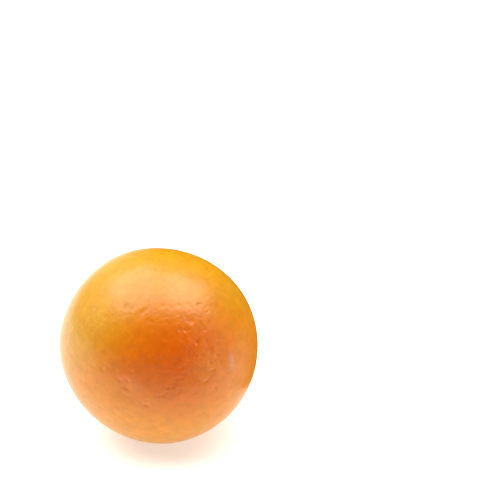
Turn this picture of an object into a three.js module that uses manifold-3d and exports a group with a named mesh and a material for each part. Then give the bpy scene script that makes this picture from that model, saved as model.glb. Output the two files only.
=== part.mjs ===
// A whole grapefruit as picked, lying on its side on a small flat spot.
// Millimetres, +Z up. The origin is the middle of the flat spot, the fruit's axis runs along Y,
// its stem end is at +Y and its blossom end at -Y.
import * as THREE from 'three';
import Module from 'manifold-3d';
import { ConvexGeometry } from 'three/addons/geometries/ConvexGeometry.js';
import { mergeVertices } from 'three/addons/utils/BufferGeometryUtils.js';

// The fruit's outline.
const EQUATOR_RADIUS = 50;
const POLE_RADIUS = 46;
const SHOULDER_TAPER = 0.03;
const FOOT_RADIUS = 8;
const CENTRE_HEIGHT = Math.sqrt(EQUATOR_RADIUS ** 2 - FOOT_RADIUS ** 2);

// Broad, shallow unevenness of the rind.
const WAVE_COUNT = 6;
const WAVE_HEIGHT = 0.14;
const WAVE_FREQUENCY = 2.6;
const WAVE_FREQUENCY_STEP = 0.8;
const WAVE_PHASE_STEP = 1.7;

// The stem basin and the creases that run out of it.
const BASIN_DEPTH = 3.4;
const BASIN_RADIUS = 8;
const CREASE_COUNT = 6;
const CREASE_DEPTH = 0.6;
const CREASE_SHARPNESS = 3;
const CREASE_MIDDLE = 12;
const CREASE_SPREAD = 5.5;

// The blossom end: a shallow dimple round the raised scar of the style.
const DIMPLE_DEPTH = 1;
const DIMPLE_RADIUS = 6.5;
const SCAR_HEIGHT = 0.5;
const SCAR_RADIUS = 2.2;

// The pits of the rind, larger than life: one for each oil gland that shows most.
const PIT_SPACING = 5.2;
const PIT_DEPTH = 0.24;
const PIT_SCATTER = 0.5;
const PIT_SEED = 11;
const PITLESS_RADIUS = 7;
const PIT_FULL_RADIUS = 15;
const STEM_END_CROWDING = 12;
const STEM_END_CROWDED_RADIUS = 9;
const BLOSSOM_END_CROWDING = 8;
const BLOSSOM_END_CROWDED_RADIUS = 6;

// The stem button: a five-lobed dry calyx with the stub of the cut stem.
const BUTTON_GAP = 0.3;
const CALYX_RADIUS = 4.9;
const CALYX_THICKNESS = 0.8;
const CALYX_CROWN_RADIUS = 2.9;
const CALYX_CROWN_HEIGHT = 1.35;
const LOBE_COUNT = 5;
const LOBE_REACH = 0.16;
const STUB_RADIUS = 1.9;
const STUB_HEIGHT = 2.6;
const STUB_EDGE = 0.25;
const BUTTON_SIDES = 40;

const GOLDEN_ANGLE = Math.PI * (3 - Math.sqrt(5));

const wasm = await Module();
wasm.setup();

// Leaves positions only, with shared vertices merged.
function bare(geometry) {
  geometry.deleteAttribute('normal');
  geometry.deleteAttribute('uv');
  return mergeVertices(geometry);
}

function toSolid(geometry) {
  const closed = bare(geometry);
  const vertProperties = Float32Array.from(closed.attributes.position.array);
  const triVerts = Uint32Array.from(closed.index.array);
  return new wasm.Manifold(new wasm.Mesh({ numProp: 3, vertProperties, triVerts }));
}

function toGeometry(solid) {
  const mesh = solid.getMesh();
  const geometry = new THREE.BufferGeometry();
  geometry.setAttribute('position', new THREE.BufferAttribute(mesh.vertProperties, mesh.numProp));
  geometry.setIndex(new THREE.BufferAttribute(mesh.triVerts, 1));
  geometry.computeVertexNormals();
  return geometry;
}

// A bell that is 1 at the middle and fades over about the given reach.
function bell(distance, reach) {
  return Math.exp(-((distance / reach) ** 2));
}

// Distance along the rind, in mm, from the stem end or the blossom end.
function fromStemEnd(direction) {
  return POLE_RADIUS * Math.acos(THREE.MathUtils.clamp(direction.y, -1, 1));
}

function fromBlossomEnd(direction) {
  return POLE_RADIUS * Math.acos(THREE.MathUtils.clamp(-direction.y, -1, 1));
}

// Directions spread evenly over a sphere on a golden spiral, from +Y to -Y.
function spiralDirection(index, count) {
  const y = 1 - (2 * index + 1) / count;
  return new THREE.Vector3(
    Math.sqrt(1 - y * y) * Math.cos(index * GOLDEN_ANGLE),
    y,
    Math.sqrt(1 - y * y) * Math.sin(index * GOLDEN_ANGLE),
  );
}

// A sum of plane waves through the fruit, each along its own direction.
function waves(direction) {
  let height = 0;
  for (let index = 0; index < WAVE_COUNT; index += 1) {
    const along = direction.dot(spiralDirection(index, WAVE_COUNT));
    const frequency = WAVE_FREQUENCY + index * WAVE_FREQUENCY_STEP;
    height += WAVE_HEIGHT * Math.sin(along * frequency + index * WAVE_PHASE_STEP);
  }
  return height;
}

const WAVES_AT_FOOT = waves(new THREE.Vector3(0, 0, -1));

// Stem basin with creases that start under the button and die out on the shoulder.
function stemBasin(direction) {
  const distance = fromStemEnd(direction);
  const around = Math.atan2(direction.z, direction.x);
  const crease = (0.5 + 0.5 * Math.cos(CREASE_COUNT * around + Math.sin(around))) ** CREASE_SHARPNESS;
  const creased = CREASE_DEPTH * crease * bell(distance - CREASE_MIDDLE, CREASE_SPREAD);
  return BASIN_DEPTH * bell(distance, BASIN_RADIUS) + creased;
}

function blossomDimple(direction) {
  const distance = fromBlossomEnd(direction);
  return DIMPLE_DEPTH * bell(distance, DIMPLE_RADIUS) - SCAR_HEIGHT * bell(distance, SCAR_RADIUS) ** 2;
}

// The rind's distance from the fruit's centre: an oblate ellipsoid, a little narrower at its stem end.
function rindRadius(direction) {
  const across = (1 - direction.y ** 2) / EQUATOR_RADIUS ** 2;
  const along = direction.y ** 2 / POLE_RADIUS ** 2;
  const taper = 1 - SHOULDER_TAPER * direction.y * (1 - direction.y ** 2);
  const uneven = waves(direction) - WAVES_AT_FOOT;
  return taper / Math.sqrt(across + along) + uneven - stemBasin(direction) - blossomDimple(direction);
}

// Pits fade out towards both ends.
function pitDepth(direction) {
  const distance = Math.min(fromStemEnd(direction), fromBlossomEnd(direction));
  return PIT_DEPTH * THREE.MathUtils.smoothstep(distance, PITLESS_RADIUS, PIT_FULL_RADIUS);
}

// How much closer together the mesh points are than PIT_SPACING, as a share of area.
function crowding(direction) {
  const stem = STEM_END_CROWDING * bell(fromStemEnd(direction), STEM_END_CROWDED_RADIUS);
  const blossom = BLOSSOM_END_CROWDING * bell(fromBlossomEnd(direction), BLOSSOM_END_CROWDED_RADIUS);
  return 1 + stem + blossom;
}

// The middles of the pits: a golden spiral from end to end, in which each pit takes its own share
// of the rind, and each middle is then moved a little by a seeded draw.
function pitMiddles() {
  const share = (Math.sqrt(3) / 2) * (PIT_SPACING / EQUATOR_RADIUS) ** 2;
  const middles = [];
  THREE.MathUtils.seededRandom(PIT_SEED);
  let y = 1 - share / (4 * Math.PI * (1 + STEM_END_CROWDING));
  while (y > -1) {
    const ring = new THREE.Vector3(Math.sqrt(1 - y * y), y, 0);
    const own = share / crowding(ring);
    const scatter = PIT_SCATTER * Math.sqrt(own);
    const around = middles.length * GOLDEN_ANGLE;
    const aside = scatter * (THREE.MathUtils.seededRandom() - 0.5);
    const along = scatter * (THREE.MathUtils.seededRandom() - 0.5);
    const middle = new THREE.Vector3().setFromSphericalCoords(1, Math.acos(y) + along, around);
    const sideways = new THREE.Vector3(Math.cos(around), 0, -Math.sin(around));
    middles.push(middle.addScaledVector(sideways, aside).normalize());
    y -= own / (2 * Math.PI);
  }
  return middles;
}

// The rind: a cell for each pit. The hull of the pits' middles gives a triangle between each three
// neighbours. The rims run from triangle to triangle, and a fan joins each pit's middle to its rim.
function rindGeometry() {
  const hull = bare(new ConvexGeometry(pitMiddles()));
  const middleCount = hull.attributes.position.count;
  const corners = hull.index.array;
  const positions = [];
  const direction = new THREE.Vector3();
  const place = (depth) => {
    direction.normalize();
    const radius = rindRadius(direction) - depth * pitDepth(direction);
    positions.push(direction.x * radius, direction.y * radius, direction.z * radius);
  };
  for (let middle = 0; middle < middleCount; middle += 1) {
    direction.fromBufferAttribute(hull.attributes.position, middle);
    place(1);
  }
  const triangleOfEdge = new Map();
  const corner = new THREE.Vector3();
  for (let start = 0; start < corners.length; start += 3) {
    direction.set(0, 0, 0);
    for (let side = 0; side < 3; side += 1) {
      const from = corners[start + side];
      const to = corners[start + ((side + 1) % 3)];
      triangleOfEdge.set(`${from} ${to}`, start / 3);
      direction.add(corner.fromBufferAttribute(hull.attributes.position, from));
    }
    place(0);
  }
  const triangles = [];
  for (const [edge, triangle] of triangleOfEdge) {
    const [from, to] = edge.split(' ').map(Number);
    const beyond = triangleOfEdge.get(`${to} ${from}`);
    triangles.push(from, middleCount + beyond, middleCount + triangle);
  }
  const rind = new THREE.BufferGeometry();
  rind.setAttribute('position', new THREE.Float32BufferAttribute(positions, 3));
  rind.setIndex(triangles);
  return rind.translate(0, 0, CENTRE_HEIGHT);
}

// The whole fruit, cut flat at z = 0 where it lies.
function fruitGeometry() {
  const ground = new THREE.BoxGeometry(4 * FOOT_RADIUS, 4 * FOOT_RADIUS, FOOT_RADIUS);
  ground.translate(0, 0, -FOOT_RADIUS / 2);
  return toGeometry(toSolid(rindGeometry()).subtract(toSolid(ground)));
}

// The floor of the stem basin under a point of the button, as a height along Y.
function basinFloor(x, z) {
  const poleHeight = rindRadius(new THREE.Vector3(0, 1, 0));
  const direction = new THREE.Vector3(x, poleHeight, z).normalize();
  return direction.y * rindRadius(direction);
}

// The button: a turned profile, drawn out into lobes and laid on the basin's floor.
function buttonGeometry() {
  const profile = [
    new THREE.Vector2(0, 0),
    new THREE.Vector2(STUB_RADIUS, 0),
    new THREE.Vector2(CALYX_CROWN_RADIUS, 0),
    new THREE.Vector2(CALYX_RADIUS, 0),
    new THREE.Vector2(CALYX_RADIUS, CALYX_THICKNESS / 2),
    new THREE.Vector2(CALYX_RADIUS - CALYX_THICKNESS / 2, CALYX_THICKNESS),
    new THREE.Vector2(CALYX_CROWN_RADIUS, CALYX_CROWN_HEIGHT),
    new THREE.Vector2(STUB_RADIUS, CALYX_CROWN_HEIGHT),
    new THREE.Vector2(STUB_RADIUS, STUB_HEIGHT - STUB_EDGE),
    new THREE.Vector2(STUB_RADIUS - STUB_EDGE, STUB_HEIGHT),
    new THREE.Vector2(0, STUB_HEIGHT - STUB_EDGE),
  ];
  const button = bare(new THREE.LatheGeometry(profile, BUTTON_SIDES));
  const points = button.attributes.position;
  for (let index = 0; index < points.count; index += 1) {
    const turned = new THREE.Vector3().fromBufferAttribute(points, index);
    const outward = Math.hypot(turned.x, turned.z) / CALYX_RADIUS;
    const around = Math.atan2(turned.z, turned.x);
    const reach = 1 + LOBE_REACH * outward ** 2 * Math.cos(LOBE_COUNT * around);
    const x = turned.x * reach;
    const z = turned.z * reach;
    points.setXYZ(index, x, basinFloor(x, z) + BUTTON_GAP + turned.y, z);
  }
  button.computeVertexNormals();
  return button.translate(0, 0, CENTRE_HEIGHT);
}

function makeFruit() {
  const rind = new THREE.MeshStandardMaterial({ color: 0xe2873a, roughness: 0.42, metalness: 0 });
  const fruit = new THREE.Mesh(fruitGeometry(), rind);
  fruit.name = 'fruit';
  return fruit;
}

function makeStemButton() {
  const calyx = new THREE.MeshStandardMaterial({ color: 0x7d6a3c, roughness: 0.85, metalness: 0 });
  const button = new THREE.Mesh(buttonGeometry(), calyx);
  button.name = 'stem_button';
  return button;
}

const grapefruit = new THREE.Group();
grapefruit.add(makeFruit());
grapefruit.add(makeStemButton());

export default grapefruit;
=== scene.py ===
"""A whole grapefruit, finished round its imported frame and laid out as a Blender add-on.

Metres, +Z up. The fruit lies on its side on a small flat spot at the origin, with its stem end at
+Y and its blossom end at -Y. Each operator makes one piece, or the stage that it stands on.
"""

import math

import bpy
import numpy as np
from bpy.props import FloatProperty, FloatVectorProperty, IntProperty, PointerProperty
from bpy.types import Operator, Panel, PropertyGroup
from mathutils import Euler, Matrix, Vector


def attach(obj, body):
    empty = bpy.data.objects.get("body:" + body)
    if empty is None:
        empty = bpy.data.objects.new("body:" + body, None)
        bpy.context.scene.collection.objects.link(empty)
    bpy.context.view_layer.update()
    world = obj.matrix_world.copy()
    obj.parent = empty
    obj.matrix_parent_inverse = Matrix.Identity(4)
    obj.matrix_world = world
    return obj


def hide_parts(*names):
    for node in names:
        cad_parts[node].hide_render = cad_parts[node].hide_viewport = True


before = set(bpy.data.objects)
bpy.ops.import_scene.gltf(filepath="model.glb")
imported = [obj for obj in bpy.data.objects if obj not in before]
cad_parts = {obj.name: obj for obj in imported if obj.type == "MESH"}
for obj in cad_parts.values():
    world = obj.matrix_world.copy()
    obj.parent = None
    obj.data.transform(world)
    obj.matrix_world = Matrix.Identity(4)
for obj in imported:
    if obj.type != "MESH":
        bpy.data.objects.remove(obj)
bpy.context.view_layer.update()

bl_info = {
    "name": "Grapefruit",
    "version": (1, 0, 0),
    "blender": (4, 5, 0),
    "location": "3D View > Sidebar > Grapefruit",
    "description": "Makes a whole grapefruit with pitted rind and a dry stem button",
    "category": "Add Mesh",
}

MM = 0.001
GOLDEN_ANGLE = math.pi * (3 - math.sqrt(5))
STEM_END = np.array([[0.0, 1.0, 0.0]])
FOOT = np.array([[0.0, 0.0, -1.0]])
# A distance, in radii, that no place on the near half of the fruit has.
FAR_SIDE = 2

# The rind's broad form, the same as the frame's.
SHOULDER_TAPER = 0.03
WAVE_COUNT = 6
WAVE_HEIGHT = 0.14 * MM
WAVE_FREQUENCY = 2.6
WAVE_FREQUENCY_STEP = 0.8
WAVE_PHASE_STEP = 1.7
CREASE_COUNT = 6
CREASE_SHARPNESS = 3
CREASE_MIDDLE = 12 * MM
CREASE_SPREAD = 5.5 * MM
SCAR_RADIUS = 2.2 * MM
# The style's scar stands a little lower than the frame's, whose few facets round it off.
SCAR_HEIGHT = 0.4 * MM

# The table of draws that scatters are read from, and the primes that hash a cell's three numbers.
SCATTER_DRAWS = 4093
SCATTER_PRIMES = (73856093, 19349663, 83492791)

# The rind's fine relief.
GRID_CELLS = 128
PIT_SEED = 5
# How far from either end the pits begin, and where they are full.
PIT_START = 2 * MM
PIT_FULL = 9 * MM
SWELL_SEED = 9
SWELL_SIZE = 5.5 * MM
SWELL_HEIGHT = 0.12 * MM
DEEP_PIT_SEED = 21
DEEP_PIT_CELL = 4.4 * MM
DEEP_PIT_RADIUS = 1.0 * MM
DEEP_PIT_DEPTH = 0.14 * MM

# A patch of coarser peel, where the pits are deeper.
COARSE_DIRECTION = (0.690, -0.610, 0.390)
COARSE_SPREAD = math.radians(19)
COARSE_GAIN = 3.4

# A zigzag row of deeper pits, from one direction to the other.
PIT_ROW_START = (0.565, -0.800, 0.201)
PIT_ROW_END = (0.358, -0.933, -0.036)
PIT_ROW_COUNT = 9
PIT_ROW_ZIGZAG = 0.9 * MM
PIT_ROW_TURN = 2.2
PIT_ROW_RADIUS = 0.65 * MM
PIT_ROW_DEPTH = 0.26 * MM

# Single dents: direction, radius and depth.
DENTS = (
    ((0.219, -0.965, -0.140), 1.3 * MM, 0.48 * MM),
    ((-0.067, -0.990, 0.121), 1.2 * MM, 0.30 * MM),
    ((0.033, -0.991, 0.127), 1.2 * MM, 0.30 * MM),
    ((0.042, -0.891, 0.452), 1.3 * MM, 0.34 * MM),
    ((0.102, -0.883, 0.457), 1.2 * MM, 0.22 * MM),
    ((-0.260, -0.945, 0.197), 1.3 * MM, 0.34 * MM),
    ((0.068, -0.970, 0.234), 1.0 * MM, 0.22 * MM),
    ((0.228, -0.933, 0.278), 1.0 * MM, 0.20 * MM),
    ((-0.229, -0.898, 0.376), 1.0 * MM, 0.20 * MM),
    ((0.666, -0.499, 0.555), 1.1 * MM, 0.24 * MM),
    ((0.630, -0.622, 0.465), 1.4 * MM, 0.24 * MM),
    ((0.669, -0.712, 0.211), 1.2 * MM, 0.30 * MM),
    ((0.797, -0.604, -0.009), 1.5 * MM, 0.26 * MM),
    ((0.775, -0.426, 0.466), 1.6 * MM, 0.22 * MM),
    ((0.393, -0.834, 0.388), 1.3 * MM, 0.18 * MM),
    ((-0.071, -0.652, 0.755), 1.5 * MM, 0.15 * MM),
    ((0.099, -0.670, 0.735), 1.3 * MM, 0.18 * MM),
    ((-0.276, -0.711, 0.647), 1.3 * MM, 0.24 * MM),
    ((0.476, -0.457, 0.752), 1.3 * MM, 0.13 * MM),
    ((0.567, -0.376, 0.733), 1.2 * MM, 0.13 * MM),
    ((0.541, -0.532, 0.652), 1.4 * MM, 0.20 * MM),
)

# Small brown specks: direction, radius and strength.
SPECKS = (
    ((0.884, -0.460, 0.085), 0.9 * MM, 0.35),
    ((0.937, -0.300, 0.181), 0.8 * MM, 0.40),
    ((0.849, -0.501, 0.169), 0.7 * MM, 0.40),
    ((0.777, -0.442, 0.449), 0.8 * MM, 0.30),
)
# A sparse scatter of fainter specks over the whole rind.
SPECK_SEED = 31
SPECK_CELL = 14 * MM
SPECK_RADIUS = 0.68 * MM
SPECK_STRENGTH = 0.35
# The shares of its radius between which a speck fades.
SPECK_EDGE = (1.3, 0.4)

# Soft patches of the rind's blush, and pale patches that are painted highlights and reflections: direction,
# reach and share.
BLUSH_PATCHES = (
    ((0.508, -0.781, 0.363), math.radians(40), 1.0),
    ((0.040, -0.960, 0.250), math.radians(16), 0.4),
)
PAINTED_HIGHLIGHT_PATCHES = (
    ((0.396, -0.380, 0.836), math.radians(12), 0.32),
    ((0.755, -0.619, 0.215), math.radians(10), 0.16),
    ((-0.360, -0.629, 0.689), math.radians(12), 0.25),
    ((-0.477, -0.115, 0.872), math.radians(14), 0.5),
)
# The underside, which grew in the shade, is yellower too.
SHADED_PATCHES = (((0.1, -0.4, -0.9), math.radians(40), 0.6),)

# The rind is yellow towards one direction, between these cosines of the angle to it.
YELLOW_DIRECTION = (-0.394, 0.416, 0.820)
YELLOW_START = -0.335
YELLOW_FULL = 0.388

# A dry rub mark: an upright, slightly bowed oval, which fades between these shares of its size.
RUB_DIRECTION = (0.901, -0.397, 0.175)
RUB_HALF_WIDTH = 1.7 * MM
RUB_HALF_HEIGHT = 6.0 * MM
RUB_BOW = 0.7 * MM
RUB_EDGE = (1.3, 0.1)
RUB_STRENGTH = 0.75

# The greener ring round the stem end, and the darker tint of the style's scar.
HALO_REACH = 14 * MM
HALO_STRENGTH = 0.8
SCAR_EDGE = (1.5 * MM, 0.5 * MM)
SCAR_STRENGTH = 0.2

# The button: the frame's lobes and mean radius, but with an uneven outline and a thinner calyx that
# lies on the rind. What fades in or out does so between two shares of the way out.
BUTTON_SINK = 0.1 * MM
LOBE_COUNT = 5
LOBE_REACH = 0.16
LOBE_SHARPNESS = 1.1
# Sines that swing the lobes round and make them uneven: waves round, height and shift of each.
LOBE_SWING = ((1, 0.09, 0.7), (2, 0.06, 2))
LOBE_UNEVENNESS = ((2, 0.3, 1), (3, 0.25, 4))
RAGGED_COUNT = 17
RAGGED_REACH = 0.12
CROWN_RADIUS = 2.9 * MM
# The shares of the crown's radius between which the collar steps up.
COLLAR_EDGE = (1.35, 0.75)
RIB_HEIGHT = 0.22 * MM
RIB_SHARPNESS = 8
RIB_FADE = (0.35, 0.55)
RIB_TINT = 0.6
FIBRE_COUNT = 34
FIBRE_HEIGHT = 0.06 * MM
FIBRE_FADE = (0.4, 0.7)
FIBRE_BEND = 3
FIBRE_BEND_COUNT = 5
FIBRE_TWIST = 4
CLEFT_DEPTH = 0.25 * MM
CLEFT_SHARPNESS = 6
CLEFT_FADE = (0.3, 0.6)
TIP_CURL = 0.35 * MM
TIP_FADE = (0.55, 1)
CALYX_COLUMNS = 200
CALYX_TOP_ROWS = 44
CALYX_UNDER_ROWS = 16
# The shares of the way out of the innermost rows, and of the first row underneath.
CALYX_INNERMOST = 0.05
CALYX_UNDER_RIM = 0.98

# The stub of the stem. Its foot is hidden in the calyx, at this share of the crown's height.
STUB_FOOT = 0.4
STUB_FLUTES = 7
FLUTE_HEIGHT = 0.05 * MM
STUB_FLARE = 0.35 * MM
STUB_LEAN = 0.1
# The share of its squared radius that the stub loses where its top is rounded over.
STUB_ROUNDING = 0.14
CUT_DEPTH = 0.14 * MM
# Shares of the way out: where the cut dips, and where its rows start and end.
CUT_DIP = (1, 0.75)
CUT_ROWS = (0.94, 0.04)
CUT_RIPPLE_HEIGHT = 0.04 * MM
CUT_RIPPLE_TURNS = 22
# The cut's dark rings, under the bark, in the wood and at the pith: share of the way out, width
# and strength.
CUT_RINGS = ((0.8, 0.06, 1), (0.5, 0.08, 0.25), (0, 0.14, 0.7))
STUB_COLUMNS = 108
STUB_SIDE_ROWS = 30
STUB_FACE_ROWS = 18

# The range that nearly all of a fractal noise lies in.
NOISE_RANGE = (0.3, 0.7)
# Widths of the finishes' patterns, with the detail and the range of each: soft blotches of colour,
# the mottle of the peel and the streaks of a dry rub, all about as wide as on a real fruit.
RIND_GROWTH = {
    "blotch": (9.0 * MM, 2.0, -0.2, 0.2),
    "mottle": (4.0 * MM, 2.0, 0.93, 1.07),
    "streak": (1.4 * MM, 2.0, 0.1, 1.2),
}
# The small pores between the glands lie about 0.6 mm apart, which is drawn twice as coarse to show.
# A pore's tint fades out at this share of the spacing.
PORE_SPACING = 1.2 * MM
PORE_REACH = 0.4
PORE_DEPTH = 0.1 * MM
PORE_TINT = 0.16
PIT_TINT = 0.14
# The row of deeper pits is darkened with the glands' colour, as painted shade of its hollows.
PIT_ROW_PAINTED_SHADE = 0.6
# Fibres are under 0.2 mm, and are drawn coarser so that they show.
SEPAL_FIBRE = (0.67 * MM, 4.0, 0.65, 1.25)
WOOD_GRAIN = (0.45 * MM, 4.0, 0.6, 1.3)
FIBRE_DEPTH = 0.08 * MM
# How much of a bump in a finish shows.
BUMP_STRENGTH = 0.5

# The place of a mix node's colour among its outputs.
MIX_RESULT = 2

# The stage.
FLOOR_HALF = 6.0
SOFTBOX_HEIGHT = 0.8
# The soft boxes' left, right, near and far edges, as seen from the camera.
SOFTBOX_EDGES = {
    "softbox_left": (-0.90, -0.015, -0.40, 0.62),
    "softbox_right": (0.015, 0.80, -0.40, 0.38),
}
# Sheets that show only in gloss, placed for the rind's. Their axes are right, away from the camera
# and up, before a turn about the upright in degrees. The frost along each edge starts, is full,
# starts to thin and ends at these shares of it.
GEL_CELLS = 60
GEL_LIFT = 1 * MM
GELS = {
    "grey_gel": dict(
        color=0x080808,
        turn=0,
        corner=(-0.6, -0.068, GEL_LIFT),
        edges=((1.2, 0, 0), (0, -1.2, 0)),
        frost=((-1, 0, 1, 2), (0, 0.083, 1, 2)),
    ),
    "amber_gel_right": dict(
        color=0xA85E10,
        turn=18,
        corner=(0.066, -0.08, 0),
        edges=((0, 0.24, 0), (0, 0, 0.14)),
        frost=((0, 0.27, 0.8, 1), (-1, 0, 0.55, 1)),
    ),
    "amber_gel_back": dict(
        color=0x8C4604,
        turn=0,
        corner=(-0.03, 0.075, 0),
        edges=((0.15, 0, 0), (0, 0, 0.17)),
        frost=((0, 0.25, 0.8, 1), (-1, 0, 0.7, 1)),
    ),
}


# ---------------------------------------------------------------- colours and nodes


def linear(hex_color):
    """sRGB hex to linear red, green and blue."""
    channels = [(hex_color >> shift & 255) / 255 for shift in (16, 8, 0)]
    return tuple(c / 12.92 if c <= 0.04045 else ((c + 0.055) / 1.055) ** 2.4 for c in channels)


def opaque(color):
    """A colour with full alpha."""
    return (*color, 1.0)


def add_node(tree, kind, settings=None, give=0, **sockets):
    """Adds a node, sets its properties, links or sets its sockets, and gives one of its outputs.

    A socket is named as in the node, with _ for a space, or by number as s0, s6 and so on."""
    node = tree.nodes.new(kind)
    for name, value in (settings or {}).items():
        setattr(node, name, value)
    for name, value in sockets.items():
        key = int(name[1:]) if name[0] == "s" and name[1:].isdigit() else name.replace("_", " ")
        if isinstance(value, bpy.types.NodeSocket):
            tree.links.new(value, node.inputs[key])
        else:
            node.inputs[key].default_value = value
    return node.outputs[give] if node.outputs else None


def new_material(name):
    """An empty node material, with its tree."""
    material = bpy.data.materials.new(name)
    material.use_nodes = True
    material.node_tree.nodes.clear()
    return material, material.node_tree


def lay_tints(tree, skin, tints):
    """Lays colours over each other, each by a share: a socket, or the name of a number that the
    mesh keeps for its points."""
    for share, color in tints:
        if isinstance(share, str):
            share = add_node(tree, "ShaderNodeAttribute", {"attribute_name": share}, "Fac")
        over = dict(s0=share, s6=skin, s7=opaque(color))
        skin = add_node(tree, "ShaderNodeMix", {"data_type": "RGBA"}, MIX_RESULT, **over)
    return skin


def growth(tree, place, sizes):
    """Uneven growth: for each named size, a fractal noise that wide, spread over its range."""
    grown = {}
    least, most = NOISE_RANGE
    for name, (size, detail, low, high) in sizes.items():
        raw = add_node(tree, "ShaderNodeTexNoise", Vector=place, Scale=1 / size, Detail=detail)
        spread = dict(From_Min=least, From_Max=most, To_Min=low, To_Max=high)
        grown[name] = add_node(tree, "ShaderNodeMapRange", Value=raw, **spread)
    return grown


# ---------------------------------------------------------------- formulas


def bell(distance, reach):
    """1 at the middle, fading over about the reach: e to minus the square of distance over reach."""
    return np.exp(-((distance / reach) ** 2))


def smooth(value, low, high):
    """0 at low and 1 at high, with a smooth step between: three t squared less two t cubed."""
    t = np.clip((value - low) / (high - low), 0, 1)
    return t * t * (3 - 2 * t)


def raised_cosine(angle):
    """A cosine, halved and raised to run from 0 to 1."""
    return 0.5 + 0.5 * np.cos(angle)


def sines(angle, terms):
    """A sum of sines of an angle, each with its number of waves round, its height and its shift."""
    return sum(height * np.sin(count * angle + shift) for count, height, shift in terms)


def unit(vectors):
    """Vectors divided by their lengths."""
    vectors = np.asarray(vectors, float)
    return vectors / np.linalg.norm(vectors, axis=-1, keepdims=True)


def spiral_directions(count):
    """Directions spread evenly over a sphere on a golden spiral, from +Y to -Y."""
    index = np.arange(count)
    y = 1 - (2 * index + 1) / count
    ring = np.sqrt(1 - y * y)
    return np.stack([ring * np.cos(index * GOLDEN_ANGLE), y, ring * np.sin(index * GOLDEN_ANGLE)], 1)


def cell_distance(points, cell, seed):
    """Distance from each point to the nearest of a scatter with one point drawn in each cubic cell.

    The draw comes from a seeded table, which each cell reads at a place hashed from its corner."""
    table = np.random.default_rng(seed).random((SCATTER_DRAWS, 3))
    corner = np.floor(points / cell).astype(np.int64)
    nearest = np.full(len(points), np.inf)
    for step in np.ndindex(3, 3, 3):
        place = corner + np.array(step) - 1
        hashed = np.bitwise_xor.reduce(place * SCATTER_PRIMES, axis=1) % SCATTER_DRAWS
        offset = (place + table[hashed]) * cell - points
        nearest = np.minimum(nearest, np.einsum("ij,ij->i", offset, offset))
    return np.sqrt(nearest)


def waves(directions):
    """A sum of sine waves, each of the place along its own direction of a golden spiral."""
    index = np.arange(WAVE_COUNT)
    along = directions @ spiral_directions(WAVE_COUNT).T
    frequency = WAVE_FREQUENCY + index * WAVE_FREQUENCY_STEP
    return WAVE_HEIGHT * np.sin(along * frequency + index * WAVE_PHASE_STEP).sum(axis=1)


def from_stem_end(directions, form):
    """Distance along the rind from the stem end: the angle to +Y times the pole radius."""
    return form.pole_radius * np.arccos(np.clip(directions[:, 1], -1, 1))


def from_blossom_end(directions, form):
    """Distance along the rind from the blossom end: the angle to -Y times the pole radius."""
    return form.pole_radius * np.arccos(np.clip(-directions[:, 1], -1, 1))


def stem_basin(directions, form):
    """Depth of the stem basin: a bell, and creases round it.

    The creases are a cosine of the angle round the stem, swung by its sine and cubed to be narrow,
    within a ring that is a bell of the distance from its middle."""
    distance = from_stem_end(directions, form)
    around = np.arctan2(directions[:, 2], directions[:, 0])
    crease = raised_cosine(CREASE_COUNT * around + np.sin(around)) ** CREASE_SHARPNESS
    creased = form.crease_depth * crease * bell(distance - CREASE_MIDDLE, CREASE_SPREAD)
    return form.basin_depth * bell(distance, form.basin_radius) + creased


def blossom_dimple(directions, form):
    """Depth of the blossom end's dimple, a bell, less the scar in its middle, a bell squared."""
    distance = from_blossom_end(directions, form)
    scar = SCAR_HEIGHT * bell(distance, SCAR_RADIUS) ** 2
    return form.dimple_depth * bell(distance, form.dimple_radius) - scar


def rind_radius(directions, form):
    """Distance of the rind from the fruit's middle.

    An oblate ellipsoid, one over the root of the sum of the direction's parts over the radii, all
    squared. A cubic of the way to the stem end narrows it there. Then come the waves, measured
    from their height at the foot, less the basin and the dimple."""
    y = directions[:, 1]
    across = (1 - y**2) / form.equator_radius**2
    along = y**2 / form.pole_radius**2
    taper = 1 - SHOULDER_TAPER * y * (1 - y**2)
    uneven = waves(directions) - waves(FOOT)
    ends = stem_basin(directions, form) + blossom_dimple(directions, form)
    return taper / np.sqrt(across + along) + uneven - ends


def centre_height(form):
    """Height of the fruit's middle over its flat spot, from the spot's radius by Pythagoras."""
    return math.sqrt(form.equator_radius**2 - form.foot_radius**2)


def angle_to(directions, middle):
    """Angle from each direction to a middle, from their dot product."""
    return np.arccos(np.clip(directions @ unit(middle), -1, 1))


def patches(directions, places):
    """Soft patches laid over each other: a bell for each, which covers its share of what is left."""
    uncovered = np.ones(len(directions))
    for middle, reach, share in places:
        uncovered *= 1 - share * bell(angle_to(directions, middle), reach)
    return 1 - uncovered


def toward(bearing, height):
    """Unit vector at a bearing round the fruit, from -Y towards +X, and at a height, as angles."""
    level = math.cos(height)
    return Vector((math.sin(bearing) * level, -math.cos(bearing) * level, math.sin(height)))


def local_offsets(directions, middle, form):
    """Distances to the right of a middle and above it, as seen from outside, from dot products.

    On the half that faces away, both are longer than any on the near half."""
    middle = unit(middle)
    right = unit(np.cross((0, 0, 1), middle))
    above = np.cross(middle, right)
    flat = np.stack([directions @ right, directions @ above], 1)
    flat[directions @ middle <= 0] = FAR_SIDE
    return form.equator_radius * flat


def pit_row(form):
    """Directions of the row's pits: even steps from start to end, moved aside by a sine of the step."""
    share = np.linspace(0, 1, PIT_ROW_COUNT)[:, None]
    line = unit(np.array(PIT_ROW_START) * (1 - share) + np.array(PIT_ROW_END) * share)
    aside = unit(np.cross(PIT_ROW_START, PIT_ROW_END)) * PIT_ROW_ZIGZAG / form.equator_radius
    return unit(line + aside * np.sin(np.arange(PIT_ROW_COUNT) * PIT_ROW_TURN)[:, None])


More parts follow.
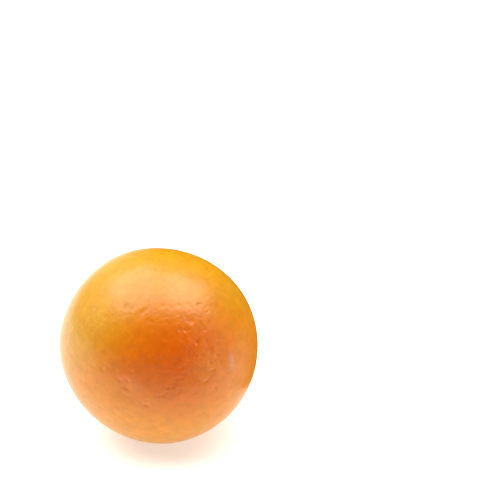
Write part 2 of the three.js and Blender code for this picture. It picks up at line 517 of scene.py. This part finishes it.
def row_depth(directions, form):
    """Depth of the row of deeper pits, each a bell."""
    distances = [form.equator_radius * angle_to(directions, middle) for middle in pit_row(form)]
    return PIT_ROW_DEPTH * bell(np.min(distances, axis=0), PIT_ROW_RADIUS)


def dent_depth(directions, form):
    """Depth of the row of pits and of the single dents, each a bell."""
    depth = row_depth(directions, form)
    for middle, radius, deep in DENTS:
        depth += deep * bell(form.equator_radius * angle_to(directions, middle), radius)
    return depth


def speck_strength(directions, points, form):
    """How strongly a brown speck shows: the named ones, and the scatter over the whole rind.

    Each is a smooth step of the distance from its middle."""
    outer, inner = SPECK_EDGE
    distance = cell_distance(points, SPECK_CELL, SPECK_SEED)
    strength = SPECK_STRENGTH * smooth(distance / SPECK_RADIUS, outer, inner)
    for middle, radius, strong in SPECKS:
        distance = form.equator_radius * angle_to(directions, middle)
        strength = np.maximum(strength, strong * smooth(distance / radius, outer, inner))
    return strength


def rub_mark(directions, form):
    """How dry the rind is rubbed: a smooth step of the place in an oval.

    The oval's middle line is a parabola, which bows it to one side."""
    offset = local_offsets(directions, RUB_DIRECTION, form)
    up = offset[:, 1] / RUB_HALF_HEIGHT
    aside = (offset[:, 0] + RUB_BOW * (1 - up**2)) / RUB_HALF_WIDTH
    return RUB_STRENGTH * smooth(np.hypot(aside, up), *RUB_EDGE)


def gland_pits(skin, form):
    """How deep in the pit over a gland a point is: a bell squared of the distance from a scatter."""
    return bell(cell_distance(skin, form.pit_cell, PIT_SEED), form.pit_radius) ** 2


def fine_relief(directions, skin, pit, form):
    """Fine relief: low swells, less a pit over each gland, scattered deeper pits and the dents.

    A swell rises with the distance from the nearest point of a scatter. The deeper pits are bells.
    All pits deepen by a bell in the coarse patch, and fade out towards both ends by a smooth step."""
    ends = np.minimum(from_stem_end(directions, form), from_blossom_end(directions, form))
    swell = cell_distance(skin, SWELL_SIZE, SWELL_SEED) / SWELL_SIZE
    deep = bell(cell_distance(skin, DEEP_PIT_CELL, DEEP_PIT_SEED), DEEP_PIT_RADIUS)
    coarse = 1 + COARSE_GAIN * bell(angle_to(directions, COARSE_DIRECTION), COARSE_SPREAD)
    pits = (form.pit_depth * pit + DEEP_PIT_DEPTH * deep) * coarse
    return SWELL_HEIGHT * swell - pits * smooth(ends, PIT_START, PIT_FULL) - dent_depth(directions, form)


def lay_on_rind(x, z, lift, form):
    """Points over the basin's floor at x and z, lifted along Y."""
    x, z, lift = (np.asarray(value, float).ravel() for value in (x, z, lift))
    directions = unit(np.stack([x, np.full(len(x), rind_radius(STEM_END, form)[0]), z], 1))
    floor = directions[:, 1] * rind_radius(directions, form)
    return np.stack([x, floor + lift, z + centre_height(form)], 1)


def with_poles(values, first, last):
    """A turned surface's numbers, row by row, and then those of its two poles."""
    return np.concatenate([values.ravel(), (first, last)])


def calyx_surface(form):
    """Points of the calyx, with how much of a sepal's tip and of its rib each one is.

    Rows run outward over the top and back in underneath. The outline is a circle with a lobe for
    each sepal, a raised cosine of the angle, which slower sines swing and stretch so that no two
    are alike, and a quick sine makes ragged. The top stands over the rind by the sepals' thickness,
    a collar that steps up round the stem, a rib along each lobe, which is a high power of it, and
    fibres, which are sines of the angle, bent, less a cleft between the lobes. It thins to nothing
    at the rim by a root of one less the tenth power of the way out, and the tips curl up by the
    sixth power of it."""
    around = np.linspace(0, 2 * math.pi, CALYX_COLUMNS, endpoint=False)[None, :]
    over = np.linspace(CALYX_INNERMOST, 1, CALYX_TOP_ROWS)
    under = np.linspace(CALYX_UNDER_RIM, CALYX_INNERMOST, CALYX_UNDER_ROWS)
    outward = np.concatenate([over, under])[:, None]
    is_top = np.arange(len(outward))[:, None] < CALYX_TOP_ROWS
    swung = around + sines(around, LOBE_SWING)
    lobe = raised_cosine(LOBE_COUNT * swung) ** LOBE_SHARPNESS
    uneven = sines(around, LOBE_UNEVENNESS) + RAGGED_REACH * np.sin(RAGGED_COUNT * swung)
    reach = form.calyx_radius * (1 + LOBE_REACH * outward**2 * (2 * lobe - 1 + uneven))
    away = reach * outward
    collar = smooth(away / CROWN_RADIUS, *COLLAR_EDGE)
    rib = lobe**RIB_SHARPNESS * smooth(outward, *RIB_FADE)
    bend = FIBRE_BEND * np.sin(FIBRE_BEND_COUNT * around) + FIBRE_TWIST * outward
    fibre = np.sin(FIBRE_COUNT * around + bend) * smooth(outward, *FIBRE_FADE)
    cleft = (1 - lobe) ** CLEFT_SHARPNESS * smooth(outward, *CLEFT_FADE)
    thick = form.calyx_thickness + (form.crown_height - form.calyx_thickness) * collar
    thick = thick + RIB_HEIGHT * rib + FIBRE_HEIGHT * fibre - CLEFT_DEPTH * cleft
    lift = TIP_CURL * outward**6 * lobe + is_top * thick * np.sqrt(1 - outward**10) - BUTTON_SINK
    points = lay_on_rind(away * np.cos(around), away * np.sin(around), lift, form)
    poles = lay_on_rind((0, 0), (0, 0), np.array((thick[0, 0], 0)) - BUTTON_SINK, form)
    tip = np.broadcast_to(smooth(outward, *TIP_FADE) * (1 + lobe) / 2, away.shape)
    rib = np.broadcast_to(rib, away.shape)
    return np.concatenate([points, poles]), with_poles(tip, 0, 0), with_poles(rib, 0, 0)


def cut_rings(outward):
    """How dark the cut's rings are: a bell for each, of the distance from its place."""
    return sum(strong * bell(outward - place, width) for place, width, strong in CUT_RINGS)


def stub_surface(form):
    """Points of the stem's stub, with how much of the cut face and of its rings each one is.

    Rows run up the side and then in over the cut face. The radius is the stem's with shallow
    flutes, two uneven cosines of the angle, rounded over at the top by the sixteenth power of the
    way up and flared at the foot by the cube of the way down. The cut face dips inside its rim,
    ripples by a cosine of the way out, and leans with the whole stub."""
    around = np.linspace(0, 2 * math.pi, STUB_COLUMNS, endpoint=False)[None, :]
    step = np.linspace(0, 1, STUB_SIDE_ROWS)[:, None]
    outward = np.linspace(*CUT_ROWS, STUB_FACE_ROWS)[:, None]
    foot = form.crown_height * STUB_FOOT
    side = foot + (form.stub_height - foot) * step
    face = form.stub_height - CUT_DEPTH * smooth(outward, *CUT_DIP)
    face = face + CUT_RIPPLE_HEIGHT * np.cos(CUT_RIPPLE_TURNS * outward)
    flute = np.cos(STUB_FLUTES * around + 2 * np.sin(2 * around)) + np.cos(3 * around + 1)
    radius = (form.stub_radius + FLUTE_HEIGHT * flute) * np.sqrt(1 - STUB_ROUNDING * step**16)
    radius = radius + STUB_FLARE * (1 - step) ** 3
    away = np.concatenate([radius, radius[-1:] * outward])
    base = rind_radius(STEM_END, form)[0]
    x = away * np.cos(around)
    y = base + np.concatenate([side, face]) + STUB_LEAN * x
    z = centre_height(form) + away * np.sin(around)
    points = np.stack([x, y, z], -1).reshape(-1, 3)
    poles = [(0, base + height, centre_height(form)) for height in (foot, face[-1, 0])]
    cut = np.concatenate([np.zeros(radius.shape), np.ones((STUB_FACE_ROWS, STUB_COLUMNS))])
    ring = cut * np.concatenate([np.zeros((STUB_SIDE_ROWS, 1)), cut_rings(outward)])
    return np.concatenate([points, poles]), with_poles(cut, 0, 1), with_poles(ring, 0, cut_rings(0))


# ---------------------------------------------------------------- meshes


def cube_sphere(cells):
    """Unit directions and quads of a cube's six square grids, swelled into a sphere and sewn up.

    Each grid is a function of two whole numbers. A point's place on the cube goes through a
    tangent, which spreads the points evenly, and points that two grids share are merged."""
    first, second = np.meshgrid(np.arange(cells + 1), np.arange(cells + 1), indexing="ij")
    grids, quads = [], []
    for axis in range(3):
        for side in (0, cells):
            grid = np.empty((cells + 1, cells + 1, 3), np.int64)
            grid[..., axis] = side
            grid[..., (axis + 1) % 3] = first
            grid[..., (axis + 2) % 3] = second
            number = len(grids) * (cells + 1) ** 2 + np.arange((cells + 1) ** 2).reshape(cells + 1, -1)
            loop = [number[:-1, :-1], number[1:, :-1], number[1:, 1:], number[:-1, 1:]]
            quads.append(np.stack(loop if side else loop[::-1], -1).reshape(-1, 4))
            grids.append(grid.reshape(-1, 3))
    corners, merged = np.unique(np.concatenate(grids), axis=0, return_inverse=True)
    directions = unit(np.tan((2 * corners / cells - 1) * math.pi / 4))
    return directions, merged.reshape(-1)[np.concatenate(quads)]


def turned_triangles(rows, columns):
    """Triangles of a turned surface: rings of points from its first pole to its last, which are
    the two points that follow the rings."""
    ring = np.arange(rows * columns).reshape(rows, columns)
    beside = np.roll(ring, -1, axis=1)
    first = np.full(columns, rows * columns)
    last = first + 1
    return np.concatenate(
        [
            np.stack([ring[:-1], ring[1:], beside[1:]], -1).reshape(-1, 3),
            np.stack([ring[:-1], beside[1:], beside[:-1]], -1).reshape(-1, 3),
            np.stack([first, ring[0], beside[0]], -1),
            np.stack([last, beside[-1], ring[-1]], -1),
        ]
    )


def mesh_object(name, points, faces, material):
    """A smooth-shaded mesh object at the origin from arrays of points and equal-sided faces."""
    sides = faces.shape[1]
    mesh = bpy.data.meshes.new(name)
    mesh.vertices.add(len(points))
    mesh.vertices.foreach_set("co", np.asarray(points, np.float32).ravel())
    mesh.loops.add(faces.size)
    mesh.loops.foreach_set("vertex_index", faces.astype(np.int32).ravel())
    mesh.polygons.add(len(faces))
    mesh.polygons.foreach_set("loop_start", np.arange(0, faces.size, sides, dtype=np.int32))
    mesh.polygons.foreach_set("use_smooth", np.ones(len(faces), bool))
    mesh.update(calc_edges=True)
    mesh.validate()
    mesh.materials.append(material)
    made = bpy.data.objects.new(name, mesh)
    bpy.context.scene.collection.objects.link(made)
    return made


def store(made, name, values):
    """Keeps one number for each point of the mesh, for its material to read."""
    attribute = made.data.attributes.new(name, "FLOAT", "POINT")
    attribute.data.foreach_set("value", np.asarray(values, np.float32))


def stand_for(made, node):
    """The piece rides on the fruit and hides the CAD node."""
    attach(made, "root")
    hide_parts(node)


# ---------------------------------------------------------------- materials


def rind_material(finish):
    """Waxed grapefruit rind: a satin skin over pith that light enters a little.

    Each oil gland shows as a darker, clearer dot in a shallow pit. The colour runs from orange
    to yellow and to the blush in soft, uneven blotches, and the wax evens out the gloss. The pale
    patches are painted highlights and reflections, and the row of deeper pits is darkened with
    painted shade."""
    material, tree = new_material("waxed_rind")
    place = add_node(tree, "ShaderNodeTexCoord", give="Object")
    grown = growth(tree, place, RIND_GROWTH)
    yellow = add_node(tree, "ShaderNodeAttribute", {"attribute_name": "yellow"}, "Fac")
    yellow = add_node(tree, "ShaderNodeMath", {"operation": "ADD"}, s0=yellow, s1=grown["blotch"])
    rub = add_node(tree, "ShaderNodeAttribute", {"attribute_name": "rub"}, "Fac")
    rub = add_node(tree, "ShaderNodeMath", {"operation": "MULTIPLY"}, s0=rub, s1=grown["streak"])
    cells = dict(Vector=place, Scale=1 / PORE_SPACING)
    pores = add_node(tree, "ShaderNodeTexVoronoi", {"feature": "SMOOTH_F1"}, "Distance", **cells)
    spread = dict(From_Min=0.0, From_Max=PORE_REACH, To_Min=PORE_TINT, To_Max=0.0)
    bump = dict(Strength=BUMP_STRENGTH, Distance=PORE_DEPTH, Height=pores)
    tints = (
        (yellow, finish.yellow),
        ("blush", finish.blush),
        # Pale patches: painted highlights and reflections of the soft boxes and the room.
        ("pale", finish.pale),
        ("stem_halo", finish.green),
        (add_node(tree, "ShaderNodeMapRange", Value=pores, **spread), finish.gland),
        ("pit", finish.gland),
        # Painted shade in the row of deeper pits, in the glands' colour.
        ("pit_row_shade", finish.gland),
        (rub, finish.rub),
        ("speck", finish.speck),
        ("scar", finish.scar),
    )
    skin = lay_tints(tree, opaque(finish.orange), tints)
    shader = add_node(
        tree,
        "ShaderNodeBsdfPrincipled",
        Base_Color=add_node(tree, "ShaderNodeHueSaturation", Color=skin, Value=grown["mottle"]),
        Roughness=finish.roughness,
        IOR=1.46,
        Subsurface_Weight=0.12,
        Subsurface_Radius=(1.0, 0.45, 0.12),
        Subsurface_Scale=2.0 * MM,
        Normal=add_node(tree, "ShaderNodeBump", **bump),
    )
    add_node(tree, "ShaderNodeOutputMaterial", Surface=shader)
    return material


def dry_material(name, first, tints, fibre, roughness):
    """Dry plant matter: a matt colour under tints, darker and lower between its fibres."""
    material, tree = new_material(name)
    place = add_node(tree, "ShaderNodeTexCoord", give="Object")
    fibre = growth(tree, place, {"fibre": fibre})["fibre"]
    skin = lay_tints(tree, opaque(first), tints)
    bump = dict(Strength=BUMP_STRENGTH, Distance=FIBRE_DEPTH, Height=fibre)
    shader = add_node(
        tree,
        "ShaderNodeBsdfPrincipled",
        Base_Color=add_node(tree, "ShaderNodeHueSaturation", Color=skin, Value=fibre),
        Roughness=roughness,
        Normal=add_node(tree, "ShaderNodeBump", **bump),
    )
    add_node(tree, "ShaderNodeOutputMaterial", Surface=shader)
    return material


def calyx_material(finish):
    """Dry calyx: papery olive-brown sepals, paler on their ribs and darker at their tips."""
    tints = (("tip", finish.bark), ("rib", finish.wood))
    return dry_material("dry_calyx", finish.sepal, tints, SEPAL_FIBRE, 0.85)


def stub_material(finish):
    """Dry stem: brown bark round a pale cut face, with darker rings and a dark pith."""
    tints = (("cut", finish.wood), ("ring", finish.bark))
    return dry_material("dry_stem", finish.bark, tints, WOOD_GRAIN, 0.9)


def floor_material(stage):
    """Matt white acrylic of a light table: light spreads sideways in it, and it glows from below."""
    material, tree = new_material("white_acrylic")
    shader = add_node(
        tree,
        "ShaderNodeBsdfPrincipled",
        Base_Color=opaque(stage.floor_color),
        Roughness=1.0,
        Specular_IOR_Level=0.0,
        Subsurface_Weight=1.0,
        Subsurface_Radius=(1.0, 1.0, 1.0),
        Subsurface_Scale=stage.floor_spread,
        Emission_Color=(1.0, 1.0, 1.0, 1.0),
        Emission_Strength=stage.floor_glow,
    )
    add_node(tree, "ShaderNodeOutputMaterial", Surface=shader)
    return material


def gel_material(name, color):
    """Frosted gel, clear where it is not frosted."""
    material, tree = new_material(name)
    shares = dict(
        s0=add_node(tree, "ShaderNodeAttribute", {"attribute_name": "frost"}, "Fac"),
        s1=add_node(tree, "ShaderNodeBsdfTransparent"),
        s2=add_node(tree, "ShaderNodeBsdfDiffuse", Color=opaque(linear(color))),
    )
    add_node(tree, "ShaderNodeOutputMaterial", Surface=add_node(tree, "ShaderNodeMixShader", **shares))
    return material


# ---------------------------------------------------------------- settings


def length_property(name, description, default):
    """A length setting, in metres."""
    return FloatProperty(name=name, description=description, default=default, min=0, unit="LENGTH")


def level_property(name, description, default):
    """A setting with no unit that is never below nought."""
    return FloatProperty(name=name, description=description, default=default, min=0)


def angle_property(name, description, degrees):
    """An angle setting, given in degrees."""
    return FloatProperty(name=name, description=description, default=math.radians(degrees), subtype="ANGLE")


def color_property(name, description, hex_color):
    """A colour setting, given as sRGB hex and kept as linear red, green and blue."""
    settings = dict(size=3, min=0, max=1, subtype="COLOR")
    return FloatVectorProperty(name=name, description=description, default=linear(hex_color), **settings)


class FruitForm(PropertyGroup):
    """Sizes of the fruit and its button."""

    equator_radius: length_property("Equator radius", "Half the fruit's width", 50 * MM)
    pole_radius: length_property("Pole radius", "Half the fruit's length before its ends dip", 46 * MM)
    foot_radius: length_property("Foot radius", "Radius of the flat spot that it lies on", 8 * MM)
    basin_depth: length_property("Basin depth", "How deep the stem end dips", 3.4 * MM)
    basin_radius: length_property("Basin radius", "How far the stem basin reaches", 8 * MM)
    crease_depth: length_property("Crease depth", "Depth of the creases round the stem", 0.6 * MM)
    dimple_depth: length_property("Dimple depth", "How deep the blossom end dips", 1 * MM)
    dimple_radius: length_property("Dimple radius", "How far the dimple reaches", 6.5 * MM)
    pit_cell: length_property("Pit spacing", "Cell size of the scatter of oil glands", 1.7 * MM)
    pit_radius: length_property("Pit radius", "Radius of the pit over a gland", 0.75 * MM)
    pit_depth: length_property("Pit depth", "Depth of the pit over a gland", 0.1 * MM)
    calyx_radius: length_property("Calyx radius", "Mean radius of the calyx", 4.9 * MM)
    calyx_thickness: length_property("Calyx thickness", "Thickness of a sepal", 0.6 * MM)
    crown_height: length_property("Crown height", "Height of the calyx at the stem", 1.5 * MM)
    stub_radius: length_property("Stub radius", "Radius of the cut stem", 1.9 * MM)
    stub_height: length_property("Stub height", "Height of the cut stem", 2.8 * MM)


class RindFinish(PropertyGroup):
    """Colours and gloss of the rind and the button."""

    orange: color_property("Orange", "The rind's main colour", 0xDF8803)
    yellow: color_property("Yellow", "The side that is least coloured", 0xCF9614)
    blush: color_property("Blush", "The side that the sun has reddened", 0xD45B00)
    # Colour of the painted highlights and reflections, laid over the rind in pale patches.
    pale: color_property("Pale", "Patches with little colour", 0xEDB255)
    green: color_property("Green", "Ring round the stem end", 0xC9A83A)
    # Also the colour of the painted shade in the row of deeper pits.
    gland: color_property("Gland", "Oil glands in the pits", 0xB8500E)
    rub: color_property("Rub mark", "Dry, pale mark where the fruit rubbed a twig", 0xCF9A84)
    speck: color_property("Speck", "Small corky specks", 0xA05A22)
    scar: color_property("Scar", "The style's dry scar", 0xB0642C)
    sepal: color_property("Sepal", "Dry sepals of the button", 0x8A7A45)
    bark: color_property("Bark", "Bark and the sepals' tips", 0x5A4527)
    wood: color_property("Wood", "Cut wood and the sepals' ribs", 0xBFA777)
    roughness: level_property("Roughness", "Roughness of the waxed rind", 0.3)


class StageSettings(PropertyGroup):
    """Camera, lights and floor."""

    azimuth: angle_property("Azimuth", "Camera's bearing round the fruit, from -Y towards +X", 21.7)
    elevation: angle_property("Elevation", "Camera's height as an angle", 30.1)
    distance: length_property("Distance", "From the fruit's middle to the camera", 0.565)
    lens: level_property("Lens", "Focal length in millimetres", 80.3)
    fruit_pixel: FloatVectorProperty(
        name="Fruit pixel",
        description="Where the fruit's middle shows, from the top left",
        default=(159.6, 344.3),
        size=2,
    )
    frame_pixels: IntProperty(name="Frame", description="Pixels across the render", default=500, min=1)
    floor_color: color_property("Floor", "Matt white acrylic", 0xEAF1E9)
    floor_glow: level_property("Floor glow", "Light from below the acrylic", 0.5)
    floor_spread: length_property("Floor spread", "How far light spreads in the acrylic", 8 * MM)
    left_wall: level_property("Left wall", "Brightness of the room at the left", 0.64)
    right_wall: level_property("Right wall", "Brightness of the room at the right", 0.45)
    back_wall: level_property("Back wall", "Brightness of the room elsewhere", 0.35)
    softbox_left: level_property("Left softbox", "Radiance of the left light", 4.05)
    softbox_right: level_property("Right softbox", "Radiance of the right light", 3.6)


# ---------------------------------------------------------------- operators


class GRAPEFRUIT_OT_rind(Operator):
    """Make the whole fruit's rind, with its pits, stem basin, blossom scar and flat spot"""

    bl_idname = "grapefruit.make_rind"
    bl_label = "Rind"

    def execute(self, context):
        form = context.scene.grapefruit_form
        directions, quads = cube_sphere(GRID_CELLS)
        radius = rind_radius(directions, form)
        skin = directions * radius[:, None]
        pit = gland_pits(skin, form)
        points = directions * (radius + fine_relief(directions, skin, pit, form))[:, None]
        points[:, 2] = np.maximum(points[:, 2] + centre_height(form), 0)
        rind = mesh_object("rind", points, quads, rind_material(context.scene.grapefruit_finish))
        store(rind, "pit", PIT_TINT * pit)
        # Painted shade in the row of deeper pits, as strong as the pits are deep.
        store(rind, "pit_row_shade", PIT_ROW_PAINTED_SHADE * row_depth(directions, form) / PIT_ROW_DEPTH)
        yellow = smooth(directions @ unit(YELLOW_DIRECTION), YELLOW_START, YELLOW_FULL)
        store(rind, "yellow", yellow + (1 - yellow) * patches(directions, SHADED_PATCHES))
        store(rind, "blush", patches(directions, BLUSH_PATCHES))
        # Where the painted highlights and reflections lie.
        store(rind, "pale", patches(directions, PAINTED_HIGHLIGHT_PATCHES))
        store(rind, "stem_halo", HALO_STRENGTH * bell(from_stem_end(directions, form), HALO_REACH))
        store(rind, "rub", rub_mark(directions, form))
        store(rind, "speck", speck_strength(directions, skin, form))
        store(rind, "scar", SCAR_STRENGTH * smooth(from_blossom_end(directions, form), *SCAR_EDGE))
        stand_for(rind, "fruit")
        return {"FINISHED"}


class GRAPEFRUIT_OT_calyx(Operator):
    """Make the dry calyx: five ribbed sepals round the stem, lying in the stem basin"""

    bl_idname = "grapefruit.make_calyx"
    bl_label = "Calyx"

    def execute(self, context):
        points, tip, rib = calyx_surface(context.scene.grapefruit_form)
        triangles = turned_triangles(CALYX_TOP_ROWS + CALYX_UNDER_ROWS, CALYX_COLUMNS)[:, ::-1]
        calyx = mesh_object("calyx", points, triangles, calyx_material(context.scene.grapefruit_finish))
        store(calyx, "tip", tip)
        store(calyx, "rib", RIB_TINT * rib)
        stand_for(calyx, "stem_button")
        return {"FINISHED"}


class GRAPEFRUIT_OT_stub(Operator):
    """Make the stub of the cut stem that stands in the calyx"""

    bl_idname = "grapefruit.make_stub"
    bl_label = "Stem stub"

    def execute(self, context):
        points, cut, ring = stub_surface(context.scene.grapefruit_form)
        triangles = turned_triangles(STUB_SIDE_ROWS + STUB_FACE_ROWS, STUB_COLUMNS)
        stub = mesh_object("stem_stub", points, triangles, stub_material(context.scene.grapefruit_finish))
        store(stub, "cut", cut)
        store(stub, "ring", ring)
        stand_for(stub, "stem_button")
        return {"FINISHED"}


class GRAPEFRUIT_OT_stage(Operator):
    """Make the white floor, the soft light and the camera"""

    bl_idname = "grapefruit.make_stage"
    bl_label = "Stage"

    def execute(self, context):
        stage = context.scene.grapefruit_stage
        middle = Vector((0, 0, centre_height(context.scene.grapefruit_form)))
        self.make_floor(stage)
        self.make_gels(stage)
        self.make_world(context, stage)
        self.make_lights(context, stage, middle)
        self.make_camera(context, stage, middle)
        context.scene.view_settings.view_transform = "Standard"
        return {"FINISHED"}

    def make_floor(self, stage):
        """One square of white acrylic."""
        half = FLOOR_HALF
        corners = np.array([(-half, -half, 0), (half, -half, 0), (half, half, 0), (-half, half, 0)])
        mesh_object("floor", corners, np.array([[0, 1, 2, 3]]), floor_material(stage))

    def make_gels(self, stage):
        """Sheets of gel near the fruit, which thin out towards the edges that could show."""
        step = np.linspace(0, 1, GEL_CELLS + 1)
        first, second = np.meshgrid(step, step, indexing="ij")
        number = np.arange(first.size).reshape(first.shape)
        quads = np.stack([number[:-1, :-1], number[:-1, 1:], number[1:, 1:], number[1:, :-1]], -1)
        for name, gel in GELS.items():
            one, other = gel["edges"]
            points = np.array(gel["corner"]) + first[..., None] * one + second[..., None] * other
            frost = np.ones(first.shape)
            for along, (start, full, thinning, end) in zip((first, second), gel["frost"]):
                frost *= smooth(along, start, full) * smooth(along, end, thinning)
            material = gel_material(name, gel["color"])
            sheet = mesh_object(name, points.reshape(-1, 3), quads.reshape(-1, 4), material)
            sheet.data.transform(Matrix.Rotation(stage.azimuth + math.radians(gel["turn"]), 4, "Z"))
            store(sheet, "frost", frost.ravel())
            sheet.visible_camera = False
            sheet.visible_diffuse = False
            sheet.visible_shadow = False

    def make_world(self, context, stage):
        """A room that the camera sees as white, and the fruit as unevenly lit.

        Each patch of it lies about a bearing from the camera's and a height, in degrees. It fades
        in between two cosines of the angle to them, from one value outside it to another inside,
        which is added to the room's light or multiplies it: a bright wall at the left, the dark
        in front, and a paler wall at the right."""
        world = bpy.data.worlds.new("studio_room")
        world.use_nodes = True
        tree = world.node_tree
        tree.nodes.clear()
        direction = add_node(tree, "ShaderNodeTexCoord", give="Generated")
        room = 0.0
        for operation, bearing, height, low, high, outside, inside in (
            ("ADD", -100, 34, 0.7, 0.98, stage.back_wall, stage.left_wall),
            ("MULTIPLY", -15, 17, 0.25, 0.62, 1.0, 0.0),
            ("ADD", 62, 14, 0.75, 0.95, 0.0, stage.right_wall),
        ):
            middle = toward(stage.azimuth + math.radians(bearing), math.radians(height))
            dot = {"operation": "DOT_PRODUCT"}
            nearness = add_node(tree, "ShaderNodeVectorMath", dot, "Value", s0=direction, s1=middle)
            spread = dict(From_Min=low, From_Max=high, To_Min=outside, To_Max=inside)
            soft = {"interpolation_type": "SMOOTHSTEP"}
            wall = add_node(tree, "ShaderNodeMapRange", soft, Value=nearness, **spread)
            room = add_node(tree, "ShaderNodeMath", {"operation": operation}, s0=room, s1=wall)
        seen = add_node(tree, "ShaderNodeLightPath", give="Is Camera Ray")
        shown = add_node(tree, "ShaderNodeMix", {"data_type": "FLOAT"}, s0=seen, s2=room, s3=1.0)
        light = add_node(tree, "ShaderNodeBackground", Color=(1, 1, 1, 1), Strength=shown)
        add_node(tree, "ShaderNodeOutputWorld", Surface=light)
        context.scene.world = world

    def make_lights(self, context, stage, middle):
        """Two soft boxes side by side overhead, a little behind the fruit."""
        turn = Matrix.Rotation(stage.azimuth, 4, "Z")
        for name, (left, right, near, far) in SOFTBOX_EDGES.items():
            light = bpy.data.lights.new(name, "AREA")
            light.shape = "RECTANGLE"
            light.size = right - left
            light.size_y = far - near
            light.energy = getattr(stage, name) * math.pi * light.size * light.size_y
            made = bpy.data.objects.new(name, light)
            place = ((left + right) / 2, (near + far) / 2, middle.z + SOFTBOX_HEIGHT)
            made.matrix_world = turn @ Matrix.Translation(place)
            context.scene.collection.objects.link(made)

    def make_camera(self, context, stage, middle):
        """Camera at the given bearing, height and distance, turned so that the fruit's middle shows
        at its pixel with the horizon level."""
        camera = bpy.data.cameras.new("camera")
        camera.lens = stage.lens
        focal = stage.lens / camera.sensor_width * stage.frame_pixels
        across = stage.fruit_pixel[0] - stage.frame_pixels / 2
        above = stage.frame_pixels / 2 - stage.fruit_pixel[1]
        whole = math.sqrt(across**2 + above**2 + focal**2)
        upright = math.sqrt(above**2 + focal**2)
        pitch = math.atan2(above, focal) + math.asin(math.sin(stage.elevation) * whole / upright)
        bearing = math.atan2(across, above * math.sin(pitch) + focal * math.cos(pitch))
        made = bpy.data.objects.new("camera", camera)
        made.location = middle + stage.distance * toward(stage.azimuth, stage.elevation)
        made.rotation_euler = Euler((math.pi / 2 - pitch, 0, stage.azimuth + bearing))
        context.scene.collection.objects.link(made)
        context.scene.camera = made


# ---------------------------------------------------------------- add-on


class GRAPEFRUIT_PT_panel(Panel):
    """Lists the pieces and their settings"""

    bl_label = "Grapefruit"
    bl_space_type = "VIEW_3D"
    bl_region_type = "UI"
    bl_category = "Grapefruit"

    def draw(self, context):
        """A box for each group of settings, then a button for each operator."""
        scene = context.scene
        for settings in (scene.grapefruit_form, scene.grapefruit_finish, scene.grapefruit_stage):
            box = self.layout.box()
            for name in settings.__annotations__:
                box.prop(settings, name)
        for operator in PIECES:
            self.layout.operator(operator.bl_idname)


PIECES = (GRAPEFRUIT_OT_rind, GRAPEFRUIT_OT_calyx, GRAPEFRUIT_OT_stub, GRAPEFRUIT_OT_stage)
CLASSES = (FruitForm, RindFinish, StageSettings, *PIECES, GRAPEFRUIT_PT_panel)


def register():
    """Adds the classes, and the settings to the scene."""
    for made in CLASSES:
        bpy.utils.register_class(made)
    bpy.types.Scene.grapefruit_form = PointerProperty(type=FruitForm)
    bpy.types.Scene.grapefruit_finish = PointerProperty(type=RindFinish)
    bpy.types.Scene.grapefruit_stage = PointerProperty(type=StageSettings)


def unregister():
    """Takes the settings and the classes away again."""
    del bpy.types.Scene.grapefruit_stage
    del bpy.types.Scene.grapefruit_finish
    del bpy.types.Scene.grapefruit_form
    for made in reversed(CLASSES):
        bpy.utils.unregister_class(made)


def main():
    """Makes every piece and the stage."""
    register()
    bpy.ops.grapefruit.make_rind()
    bpy.ops.grapefruit.make_calyx()
    bpy.ops.grapefruit.make_stub()
    bpy.ops.grapefruit.make_stage()


if __name__ == "__main__":
    main()
